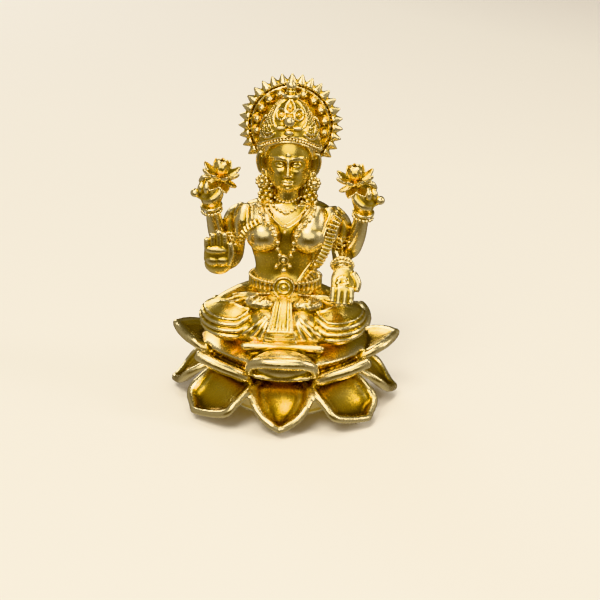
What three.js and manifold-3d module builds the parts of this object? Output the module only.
// A small cast figure of Lakshmi, seated on a lotus, four armed, with a rayed halo. One casting.
// Millimetres, +Z up. The origin is on the table under the middle of the lotus, and the figure faces -Y.
import * as THREE from "three";
import { mergeVertices } from "three/addons/utils/BufferGeometryUtils.js";
import Module from "manifold-3d";

const wasm = await Module();
wasm.setup();

// Driving dimensions
const FIGURE_HEIGHT = 57.5; // from the seat to the top ray of the halo
const SEAT_HEIGHT = 18; // from the table to the seat
const CORE_RADIUS = 15.5; // the lotus's solid middle
const FOOT_RADIUS = 14; // its flat foot on the table
const SEAT_RADIUS = 13.2; // the low round slab that the figure sits on
const PETAL_REACH = 27; // from the middle to the tip of a lower petal
const UPPER_PETAL_REACH = 26.4;
const FRONT_LIP_REACH = 23; // the upper petals at the front and the back stand steeper than the others
const PETAL_WIDTH = 14.8;
const PETAL_THICKNESS = 1.9;
const LOWER_PETAL_CUP = 2.2; // how far a petal's edges stand above its middle
const UPPER_PETAL_CUP = 4.4;
const FRONT_PETAL_GAP = 50; // degrees from the front petal to the next one
const TABLE_CLEARANCE = 0.6; // under the lower petals' tips
const HALO_RADIUS = 9.6; // the band that carries the rays
const HALO_THICKNESS = 1.5;
const RAY_LENGTH = 2.2;
const RAY_COUNT = 23; // none behind the hair
const RAY_STEP = 11.55; // degrees between two rays
const STUD_COUNT = 11;
const STUD_STEP = 20; // degrees between two studs
const FLOWER_RADIUS = 4.6; // each held lotus
const FLOWER_HEIGHT = 3.9; // its bud, above its outer petals
const BEAD_RADIUS = 0.55;
const FIGURE_SHIFT = -0.5; // the figure sits a little off the lotus's middle, towards its own right

// The figure's pose and carving are shares of its height: one unit is about 1 mm, and z counts from the seat.
const UNIT = FIGURE_HEIGHT / 57.5;
const LEFT = -1;
const RIGHT = 1;
const BOTH_SIDES = [LEFT, RIGHT];
const X_AXIS = new THREE.Vector3(1, 0, 0);
const Y_AXIS = new THREE.Vector3(0, 1, 0);
const Z_AXIS = new THREE.Vector3(0, 0, 1);

const at = (x, y, z) => new THREE.Vector3(x * UNIT + FIGURE_SHIFT, y * UNIT, z * UNIT + SEAT_HEIGHT);
const radians = THREE.MathUtils.degToRad;
const mix = THREE.MathUtils.lerp;

// A closed geometry as a solid that can be joined.
function solid(geometry) {
  const bare = geometry.clone();
  bare.deleteAttribute("normal");
  bare.deleteAttribute("uv");
  const merged = mergeVertices(bare, 1e-4);
  const vertProperties = merged.attributes.position.array;
  const triVerts = new Uint32Array(merged.index.array);
  return new wasm.Manifold(new wasm.Mesh({ numProp: 3, vertProperties, triVerts }));
}

// A geometry with each of its points moved to where place says.
function shaped(geometry, place) {
  const positions = geometry.attributes.position;
  const point = new THREE.Vector3();
  for (let i = 0; i < positions.count; i++) {
    const moved = place(point.fromBufferAttribute(positions, i));
    positions.setXYZ(i, moved.x, moved.y, moved.z);
  }
  return geometry;
}

// A value read from a short list of stations, which are spread evenly from 0 to 1.
function station(values, t) {
  const place = THREE.MathUtils.clamp(t, 0, 1) * (values.length - 1);
  const low = Math.min(Math.floor(place), values.length - 2);
  return mix(values[low], values[low + 1], place - low);
}

// An ellipsoid with its middle at centre. Its poles are above and below.
function ball(centre, rx, ry, rz, around = 10, down = 7) {
  const sphere = new THREE.SphereGeometry(1, around, down).rotateX(Math.PI / 2);
  return solid(sphere.scale(rx * UNIT, ry * UNIT, rz * UNIT).translate(centre.x, centre.y, centre.z));
}

// A rounded limb along a smooth line. flat squeezes its section at right angles to across.
// An even limb spreads its rings evenly, so that radii that rise and fall make a row of beads or ribs.
function limb(points, radii, { sides = 8, rings = 5, flat = 1, even = false, across = X_AXIS } = {}) {
  const line = points.length > 2 ? new THREE.CatmullRomCurve3(points) : new THREE.LineCurve3(...points);
  return solid(
    shaped(new THREE.SphereGeometry(1, sides, rings), (p) => {
      const t = even ? Math.acos(-p.y) / Math.PI : (1 + Math.sin((p.y * Math.PI) / 2)) / 2;
      const ring = Math.sqrt(Math.max(1 - p.y * p.y, 0));
      const swell = ring > 1e-4 ? (even ? 1 : ring ** 0.3) / ring : 0;
      const along = line.getTangent(t);
      const back = new THREE.Vector3().crossVectors(along, across).normalize();
      const side = new THREE.Vector3().crossVectors(back, along);
      const radius = station(radii, t) * UNIT * swell;
      return line.getPoint(t).addScaledVector(side, -p.x * radius).addScaledVector(back, p.z * radius * flat);
    }),
  );
}

// A row of count beads or ribs along a line: a limb whose radius rises and falls.
function row(points, count, high, low, options = {}) {
  const radii = Array.from({ length: 2 * count + 1 }, (_, i) => (i % 2 ? high : low));
  return limb(points, radii, { sides: 5, rings: 2 * count, even: true, ...options });
}

// A bangle round a limb: a low drum with a rounded rim.
function bangle(centre, axis, radius, height, around = 10) {
  const rim = [
    [0, -height / 2],
    [radius * 0.9, -height / 2],
    [radius, 0],
    [radius * 0.9, height / 2],
    [0, height / 2],
  ];
  return turned(rim, centre, axis, around);
}

// A turned form about a line from base towards axis. The profile is pairs of radius and height.
function turned(profile, base, axis, around = 12, scale = UNIT) {
  const points = profile.map(([r, h]) => new THREE.Vector2(r * scale, h * scale));
  const turn = new THREE.Quaternion().setFromUnitVectors(Y_AXIS, axis.clone().normalize());
  const form = new THREE.LatheGeometry(points, around).applyQuaternion(turn);
  return solid(form.translate(base.x, base.y, base.z));
}

// A thick petal: a closed shell along a line from root to tip, cupped, pointed, with a rounded rim.
function petal(line, across, { width, thickness, cup, root = 0.94, widest = 0.34, sides = 8, rings = 5 }) {
  const rounded = (v) => Math.sign(v) * Math.sqrt(Math.abs(v));
  return solid(
    shaped(new THREE.SphereGeometry(1, sides, rings), (p) => {
      const t = (1 + p.y) / 2;
      const ring = Math.sqrt(Math.max(1 - p.y * p.y, 0));
      const share = ring > 1e-4 ? rounded(p.x / ring) : 0;
      const face = ring > 1e-4 ? rounded(p.z / ring) : 0;
      const taper = Math.max(t - widest, 0) / (1 - widest);
      const half = (width / 2) * (1 - taper ** 2) * mix(root, 1, Math.min(t / widest, 1));
      const along = line.getTangent(t);
      const up = new THREE.Vector3().crossVectors(across, along).normalize();
      const lift = cup * share ** 2 * (half / width) * 2 + (thickness / 2) * ring ** 0.4 * face;
      return line.getPoint(t).addScaledVector(across, share * half).addScaledVector(up, lift);
    }),
  );
}

// The lotus seat
const PETALS_A_TIER = 8;
const sidePetalGap = (180 - FRONT_PETAL_GAP) / (PETALS_A_TIER / 2 - 1);
const petalAngles = Array.from({ length: PETALS_A_TIER }, (_, i) => {
  const steps = Math.min(i, PETALS_A_TIER - i);
  const azimuth = steps ? FRONT_PETAL_GAP + (steps - 1) * sidePetalGap : 0;
  return i > PETALS_A_TIER / 2 ? -azimuth : azimuth;
});

// A line in the upright plane that looks out from the middle at an azimuth, 0 being the front.
function outward(azimuth, stations) {
  const out = new THREE.Vector3(Math.sin(radians(azimuth)), -Math.cos(radians(azimuth)), 0);
  const points = stations.map(([r, z]) => out.clone().multiplyScalar(r).setZ(z));
  return new THREE.CubicBezierCurve3(...points);
}

function lotusSeat() {
  const waist = SEAT_HEIGHT * 0.58;
  const low = TABLE_CLEARANCE + PETAL_THICKNESS / 2;
  const lower = [
    [CORE_RADIUS * 0.9, waist - 1],
    [CORE_RADIUS * 1.3, waist - 2.6],
    [mix(CORE_RADIUS, PETAL_REACH, 0.5), low - 0.4],
    [PETAL_REACH, low + 0.7],
  ];
  const upper = (reach, tip) => [
    [CORE_RADIUS * 0.9, waist + 1.8],
    [CORE_RADIUS * 1.25, waist + 0.6],
    [mix(CORE_RADIUS, reach, 0.8), SEAT_HEIGHT - 4],
    [reach, tip],
  ];
  const steepPetal = upper(FRONT_LIP_REACH, SEAT_HEIGHT - PETAL_THICKNESS / 4);
  const openPetal = upper(UPPER_PETAL_REACH, SEAT_HEIGHT - PETAL_THICKNESS);
  const petals = petalAngles.flatMap((azimuth) => {
    const across = new THREE.Vector3(-Math.cos(radians(azimuth)), -Math.sin(radians(azimuth)), 0);
    const shape = { width: PETAL_WIDTH, thickness: PETAL_THICKNESS };
    const upperPetal = azimuth % 180 ? openPetal : steepPetal;
    return [
      petal(outward(azimuth, lower), across, { ...shape, cup: LOWER_PETAL_CUP }),
      petal(outward(azimuth, upperPetal), across, { ...shape, cup: UPPER_PETAL_CUP }),
    ];
  });
  const core = [
    [0, 0],
    [FOOT_RADIUS, 0],
    [FOOT_RADIUS, 1.6],
    [CORE_RADIUS, waist],
    [CORE_RADIUS * 1.2, SEAT_HEIGHT - 3.4],
    [SEAT_RADIUS + 1.8, SEAT_HEIGHT - 1.5],
    [SEAT_RADIUS + 0.6, SEAT_HEIGHT],
    [0, SEAT_HEIGHT],
  ];
  return [turned(core, new THREE.Vector3(), Z_AXIS, 18, 1), ...petals];
}

// The folded legs under their cloth. Each knee is a rounded form, ringed by folds that sag towards the front.
function foldedLegs() {
  const forms = [ball(at(0, -3.5, 2), 14, 8.6, 3.2, 12, 5)];
  const ridges = [0, 0, 0.02, 0, 0.08, -0.01, 0.09, -0.01, 0.09, 0.02, 0, 0];
  const last = ridges.length - 1;
  for (const side of BOTH_SIDES) {
    const knee = shaped(new THREE.SphereGeometry(1, 10, last).rotateX(Math.PI / 2), (p) => {
      const level = Math.acos(THREE.MathUtils.clamp(p.z, -1, 1)) / Math.PI;
      const swell = 1 + ridges[Math.round(level * last)];
      const sag = p.y < 0 ? 1.1 * p.y * Math.sqrt(Math.max(1 - p.z * p.z, 0)) : 0;
      return at(side * 11.4 + p.x * 7.3 * swell, -5.6 + p.y * 7.2 * swell, 3.8 + p.z * 3.9 + sag);
    });
    forms.push(solid(knee));
    const thigh = [at(side * 4, 1.5, 6), at(side * 14.6, -5.2, 4.6)];
    const shin = [at(side * 13, -9.4, 2.2), at(side * 1.5, -12.4, 2.2)];
    forms.push(limb(thigh, [4.6, 4.2, 3.2], { sides: 7, rings: 4 }));
    forms.push(limb(shin, [2.6, 2.5, 2.1], { sides: 7, rings: 4 }));
  }
  return forms;
}

// The pleated sash that hangs from the buckle over the crossed shins
function pleatedSash() {
  const pleats = 5;
  const cloth = new THREE.BoxGeometry(1, 1, 1, pleats * 2, 2, 1);
  const fan = shaped(cloth, (p) => {
    const t = 0.5 - p.y;
    const half = mix(1.7, 3.1, t);
    const ridge = p.z > 0 && Math.round((p.x + 0.5) * pleats * 2) % 2 ? 0.4 : 0;
    const y = mix(-6.6, -14, t ** 0.7) + 0.8 - (p.z + 0.5) * 1.6 - ridge;
    return at(p.x * 2 * half, y, mix(9.2, 2.7, t ** 1.2));
  });
  const edge = [at(-3.4, -14.1, 2.7), at(3.4, -14.1, 2.7)];
  const hem = limb(edge, [0.55, 0.55], { sides: 6, rings: 3, across: Y_AXIS });
  return [solid(fan), hem, ball(at(0, -12.6, 1.3), 4.4, 1.9, 1.4, 8, 3)];
}

// The trunk, upwards from the hips: level, half-width, half-depth and how far back its middle is
function trunk() {
  const levels = [
    [4, 9.6, 6.6, 0],
    [8, 9.8, 6.4, 0],
    [11, 8.4, 5.8, 0],
    [14, 7.4, 5, 0.2],
    [18, 8.4, 5.1, 0.2],
    [22.5, 9.6, 5.5, 0.2],
    [26, 10.6, 5, 0.4],
    [28.4, 9, 3.9, 0.6],
    [30, 4, 3, 0.4],
  ];
  const column = (n) => levels.map((level) => level[n]);
  const cylinder = new THREE.CylinderGeometry(1, 1, 1, 12, levels.length - 1);
  const body = shaped(cylinder, (p) => {
    const t = p.y + 0.5;
    const middle = station(column(3), t);
    return at(-p.x * station(column(1), t), p.z * station(column(2), t) + middle, station(column(0), t));
  });
  const forms = [solid(body), limb([at(0, 0.3, 28), at(0, -0.6, 36)], [3.2, 2.9, 3], { rings: 4 })];
  for (const side of BOTH_SIDES) {
    forms.push(ball(at(side * 5.1, -4.2, 22.4), 3.5, 3.3, 3.4, 9, 6));
  }
  return forms;
}

// The belt with its round buckle, and the bunched cloth on each hip
function belt() {
  const band = [
    [7, 0],
    [9.2, 0.3],
    [8.9, 1.4],
    [9.2, 2.4],
    [7, 2.7],
    [7, 0],
  ];
  const points = band.map(([r, h]) => new THREE.Vector2(r, h));
  const round = new THREE.LatheGeometry(points, 12).rotateX(Math.PI / 2);
  const buckle = [
    [0, 0],
    [2.4, 0],
    [2.2, 1.8],
    [0, 2],
  ];
  const forms = [
    solid(shaped(round, (p) => at(p.x, p.y * 0.72, p.z + 9.4))),
    turned(buckle, at(0, -5.8, 10.6), new THREE.Vector3(0, -1, 0.12), 9),
  ];
  for (const side of BOTH_SIDES) {
    const roll = [at(side * 10.6, 0.6, 8), at(side * 7.5, -6.4, 7.4), at(side * 2.2, -8.4, 7.2)];
    forms.push(limb(roll, [1.5, 1.9, 1.2], { sides: 6 }));
  }
  return forms;
}

// The sari's pleated border: from the left shoulder across the chest to the belt, and on the right arm
function sariBorder() {
  const chest = [
    at(10.6, -1.8, 28),
    at(10.4, -4.6, 25),
    at(9, -6, 21),
    at(7.4, -5.6, 17),
    at(5, -5.6, 13.5),
    at(3.4, -6, 11.6),
  ];
  const arm = [at(-6.4, -4.4, 26.4), at(-9, -4.1, 24.4), at(-11.3, -3.1, 22.6)];
  return [row(chest, 8, 1.35, 0.95, { flat: 0.8 }), row(arm, 3, 1.3, 0.9, { flat: 0.8 })];
}

// Necklaces: a choker, a collar that comes to a point, and two long strings of beads with their drop
function necklaces() {
  const forms = [
    bangle(at(0, -0.7, 29.8), new THREE.Vector3(0, 0.42, 1), 3.9, 1.3, 10),
    ball(at(0, -5.2, 16.8), 1, 1, 1.1, 6, 4),
    ball(at(0, -5, 14.9), 0.8, 0.9, 1.2, 5, 3),
  ];
  for (const side of BOTH_SIDES) {
    const collar = [at(side * 3.6, -2.4, 29.6), at(side * 2.6, -4.3, 26.8), at(0, -5.3, 24.2)];
    const string = [
      at(side * 5, -1.8, 29.4),
      at(side * 5, -5, 26),
      at(side * 3, -6.5, 22.4),
      at(side * 1, -5.2, 17.4),
    ];
    forms.push(limb(collar, [0.5, 0.6, 0.5], { sides: 4, rings: 3 }));
    forms.push(limb(string, [BEAD_RADIUS, BEAD_RADIUS], { sides: 4, rings: 4, even: true }));
    const drop = [at(side * 0.5, -5, 16.6), at(side * 1.7, -4.9, 15.3)];
    forms.push(limb(drop, [0.5, 0.7], { sides: 4, rings: 3 }));
  }
  return forms;
}

// The head: a rounded face that narrows to the chin, with ears, earrings and the hair around it
function head() {
  const middle = 39.9;
  const skull = shaped(new THREE.SphereGeometry(1, 12, 9).rotateX(Math.PI / 2), (p) => {
    const low = Math.max(-p.z, 0);
    const full = Math.sqrt((1 - Math.min(low, 0.999) ** 2.4) / (1 - Math.min(low, 0.999) ** 2));
    return at(p.x * 4.9 * full, p.y * 5 - 1.3 - 2 * low ** 2, p.z * 7.3 + middle);
  });
  const nose = [at(0, -6, middle + 1.6), at(0, -7.1, middle - 1.6)];
  const looseHair = [at(0, 1.8, middle - 2), at(0, 1.4, middle - 12)];
  const forms = [
    solid(skull),
    limb(nose, [0.35, 0.5, 0.9], { sides: 5, rings: 3 }),
    ball(at(0, 0.8, middle + 0.6), 6.1, 5.2, 5.6, 9, 5),
    limb(looseHair, [5.6, 5.4, 5.2], { sides: 6, rings: 3, flat: 0.4 }),
  ];
  const earring = [
    [0, 0],
    [1.7, 0],
    [1.7, 0.8],
    [0, 1.5],
  ];
  for (const side of BOTH_SIDES) {
    const place = (x, y, z) => at(side * x, y, middle + z);
    const ear = [place(5.8, -0.8, 0.6), place(6.2, -1, -4.4)];
    const hair = [place(5.4, 0.8, -3.6), place(5, -0.2, -11.4)];
    forms.push(limb(ear, [1.3, 1.1, 0.9], { sides: 5, rings: 3 }));
    forms.push(turned(earring, place(5.9, -1, -5.6), new THREE.Vector3(0.3 * side, -1, 0), 8));
    forms.push(limb(hair, [1.5, 1.5, 1.4], { sides: 6, rings: 4 }));
  }
  return forms;
}

// The domed crown, which sweeps down from the brow to the ears, with its front plaque and finial
function crown() {
  const dome = [
    [0, -0.4],
    [6.4, -0.4],
    [7.1, 0.1],
    [6.8, 0.7],
    [7.1, 1.3],
    [6.4, 3.1],
    [5.2, 5.2],
    [3.4, 7.3],
    [1.5, 8.5],
    [2, 9.3],
    [0.8, 10.2],
    [1.35, 11.3],
    [0.8, 12.4],
    [0, 13.1],
  ];
  const points = dome.map(([r, h]) => new THREE.Vector2(r, h));
  const swept = shaped(new THREE.LatheGeometry(points, 12).rotateX(Math.PI / 2), (p) => {
    const fade = THREE.MathUtils.clamp(1 - p.z / 9, 0, 1);
    const droop = 3.2 * (p.x / 6.5) ** 2 + (p.y > 0 ? 0.8 : 0);
    return at(p.x, p.y * 0.9 - 0.4, p.z + 44.6 - droop * fade);
  });
  const boss = [
    [0, -1],
    [1.6, -0.4],
    [1.4, 1.2],
    [0, 2],
  ];
  return [solid(swept), plaque(), turned(boss, at(0, -5.2, 49.1), new THREE.Vector3(0, -1, 0.3), 7)];
}

// The crown's front plaque: a pointed leaf over two curled side lobes, on the dome's slope
function plaque() {
  const outline = new THREE.Shape();
  outline.moveTo(0, 4.2);
  outline.quadraticCurveTo(0.5, 2.8, 1.6, 2);
  outline.absarc(2.4, 0.4, 1.3, 1.9, -2.2, true);
  outline.lineTo(0, -3.2);
  outline.lineTo(-1.6, -1);
  outline.absarc(-2.4, 0.4, 1.3, Math.PI + 2.2, Math.PI - 1.9, true);
  outline.quadraticCurveTo(-0.5, 2.8, 0, 4.2);
  const plate = new THREE.ExtrudeGeometry(outline, { depth: 1.8, bevelEnabled: false, curveSegments: 3 });
  return solid(shaped(plate.rotateX(Math.PI / 2 - 0.42), (p) => at(p.x, p.y - 4.2, p.z + 49.1)));
}

// The halo: a toothed plate of rays, a raised disc in front of it and a ring of studs on the disc
function halo() {
  const middle = at(0, 4.4, 45.8);
  const lean = Math.atan(0.07);
  const tip = HALO_RADIUS + RAY_LENGTH;
  const teeth = [];
  for (let i = 0; i <= 2 * RAY_COUNT; i++) {
    const turn = radians((i / 2 - RAY_COUNT / 2) * RAY_STEP);
    const radius = i % 2 ? tip : HALO_RADIUS;
    teeth.push(new THREE.Vector2(0, radius).rotateAround(new THREE.Vector2(), turn));
  }
  const depth = HALO_THICKNESS;
  const plate = new THREE.ExtrudeGeometry(new THREE.Shape(teeth), { depth, bevelEnabled: false });
  const pointed = shaped(plate, (p) => {
    const share = (Math.hypot(p.x, p.y) - HALO_RADIUS) / RAY_LENGTH;
    return p.clone().setZ(mix(p.z, depth / 2, 0.8 * Math.max(share, 0)));
  });
  const upright = (geometry) => geometry.rotateX(Math.PI / 2 - lean).translate(middle.x, middle.y, middle.z);
  const disc = new THREE.CylinderGeometry(HALO_RADIUS - 1.1, HALO_RADIUS - 0.8, depth / 2, 16);
  const forms = [solid(upright(pointed)), solid(upright(disc.rotateX(Math.PI / 2).translate(0, 0, depth)))];
  for (let i = 0; i < STUD_COUNT; i++) {
    const angle = radians((i - (STUD_COUNT - 1) / 2) * STUD_STEP);
    const stud = new THREE.ConeGeometry(0.95, 1.9, 4).rotateX(Math.PI / 2);
    stud.translate(0, HALO_RADIUS - 2, depth * 1.25 + 0.6).rotateZ(angle);
    forms.push(solid(upright(stud)));
  }
  return forms;
}

// One side's two arms: the raised one that holds a lotus, and the lower one down to its wrist
function arms(side, elbow, wrist) {
  const raised = [
    at(side * 11, 2.4, 24),
    at(side * 13.7, 1.9, 17.6),
    at(side * 15.6, -0.4, 21),
    at(side * 16.9, -2, 28),
  ];
  const lower = [at(side * 8.6, 0.6, 26), at(side * 11.8, 1, 23.4), elbow, wrist];
  const up = new THREE.Vector3(side * 0.14, -0.25, 1);
  return [
    limb(lower, [3, 3, 2.6, 2.3, 1.9], { sides: 7 }),
    limb(raised, [2.4, 2.3, 2.2, 2, 1.7], { sides: 6, rings: 6 }),
    ball(at(side * 12.5, 1.8, 20.2), 1.5, 1.6, 3.4, 6, 4),
    bangle(at(side * 16.8, -1.9, 27.4), up, 2.7, 1.9, 9),
    ball(at(side * 11.6, -2.1, 22.4), 1.5, 0.9, 1.5, 6, 3),
    ...fist(side),
    ...heldLotus(side),
  ];
}

// The raised hand, closed round the stem, its fingers curled and its little finger standing out
function fist(side) {
  const finger = (radius, ...joints) => {
    const points = joints.map(([x, y, z]) => at(side * x, y, z));
    return limb(points, [radius, radius, radius * 0.9], { sides: 5, rings: 3 });
  };
  const palm = [at(side * 16.9, -2.1, 28), at(side * 17, -2.5, 31), at(side * 17.2, -2.6, 33.4)];
  return [
    limb(palm, [1.7, 2.3, 1.6], { sides: 7, rings: 4, flat: 0.75 }),
    finger(1.05, [18.4, -2, 30.9], [19.8, -3, 31.2], [20.2, -3.7, 31.3]),
    finger(1.3, [18.4, -2, 32.8], [18.8, -3.6, 33], [17.6, -4.5, 32.4]),
  ];
}

// The lotus in the raised hand: a stem, a ring of outer petals that point down and out, and the open bud
function heldLotus(side) {
  const middle = at(side * 15, -3, 35.6);
  const axis = new THREE.Vector3(-side * 0.2, -0.15, 1).normalize();
  const r = FLOWER_RADIUS;
  const h = FLOWER_HEIGHT;
  const tips = [h * 0.2, -h * 0.4];
  const outer = { count: 8, inner: r * 0.55, outer: r, low: -h * 0.3, tips, high: h * 0.2 };
  const bud = { count: 5, inner: r * 0.5, outer: r * 0.66, low: -h * 0.1, tips: [h * 0.8], high: h * 0.9 };
  return [
    limb([at(side * 16.7, -3, 30.5), middle], [0.8, 0.9], { sides: 5, rings: 3 }),
    petalRing(middle, axis, outer),
    petalRing(middle, axis, { ...bud, twist: 10 }),
  ];
}

// A ring of fused petals about an axis: its radius swells to a point at each one, at one of the tips' levels.
function petalRing(middle, axis, { count, inner, outer, low, tips, high, twist = 0 }) {
  const turn = new THREE.Quaternion().setFromUnitVectors(Z_AXIS, axis);
  const around = count * 4;
  return solid(
    shaped(new THREE.SphereGeometry(1, around, 2).rotateX(Math.PI / 2), (p) => {
      const angle = Math.atan2(p.y, p.x);
      const step = Math.round((angle / (2 * Math.PI)) * around + around);
      const swell = [1, 0.62, 0, 0.62][step % 4];
      const tip = tips[Math.round(step / 4) % tips.length];
      const radius = Math.hypot(p.x, p.y) * mix(inner, outer, swell);
      const height = mix(mix(low, high, (p.z + 1) / 2), tip, swell * (1 - p.z * p.z));
      const place = new THREE.Vector3(radius, 0, height).applyAxisAngle(Z_AXIS, angle + radians(twist));
      return place.applyQuaternion(turn).add(middle);
    }),
  );
}

// An open hand at its palm's middle. up is 1 for fingers that point up, and size is a share of the larger.
function openHand(x, y, z, up, size) {
  const fingers = [
    [-2.35, 5.8],
    [-0.8, 6.9],
    [0.75, 7.1],
    [2.2, 6.3],
  ];
  const place = (dx, dy, dz) => at(x + dx * size, y + dy * size, z + dz * size * up);
  const finger = (radius, ...points) => {
    const radii = [radius * size, radius * size, radius * size * 0.8];
    return limb(points, radii, { sides: 5, rings: 3 });
  };
  const palm = [place(0, 0.6, -3.4), place(0, 0, 0), place(0, 0, 2.6)];
  return [
    limb(palm, [2 * size, 3 * size, 2.6 * size], { rings: 4, flat: 0.5 }),
    ...fingers.map(([dx, reach]) => finger(0.85, place(dx, 0, 1.2), place(dx * 0.95, -0.5, reach))),
    finger(0.9, place(1.9, -0.3, -1), place(3.1, -0.6, 1), place(3.1, -0.7, 3.2)),
  ];
}

// The blessing hand on the figure's right, fingers up, and the giving hand on its left, fingers down
function armsAndHands() {
  return [
    ...arms(LEFT, at(-12.2, 1, 15.4), at(-15.3, -8.8, 16.4)),
    ...openHand(-14.9, -9.2, 18.6, 1, 1),
    bangle(at(-14.9, -6.4, 16.1), new THREE.Vector3(-0.4, -1, 0), 2.4, 1.2, 8),
    ...arms(RIGHT, at(12.6, 1.2, 17.2), at(12.8, -8.6, 16.4)),
    ...openHand(12.9, -9, 14.1, -1, 0.86),
    bangle(at(12.7, -6.6, 17.3), new THREE.Vector3(0, -0.75, -0.5), 2.5, 1.6, 8),
  ];
}

const casting = [
  ...lotusSeat(),
  ...foldedLegs(),
  ...pleatedSash(),
  ...trunk(),
  ...belt(),
  ...sariBorder(),
  ...necklaces(),
  ...head(),
  ...crown(),
  ...halo(),
  ...armsAndHands(),
].reduce((whole, form) => whole.add(form));

function geometryOf(manifold) {
  const { vertProperties, triVerts, numProp } = manifold.getMesh();
  const geometry = new THREE.BufferGeometry();
  geometry.setAttribute("position", new THREE.BufferAttribute(vertProperties, numProp));
  geometry.setIndex(new THREE.BufferAttribute(triVerts, 1));
  geometry.computeVertexNormals();
  return geometry;
}

const GILT_BRASS = new THREE.MeshStandardMaterial({ color: 0xc9a227, roughness: 0.28, metalness: 1 });
const figure = new THREE.Mesh(geometryOf(casting), GILT_BRASS);
figure.name = "lakshmi_figure";

const part = new THREE.Group();
part.add(figure);
export default part;
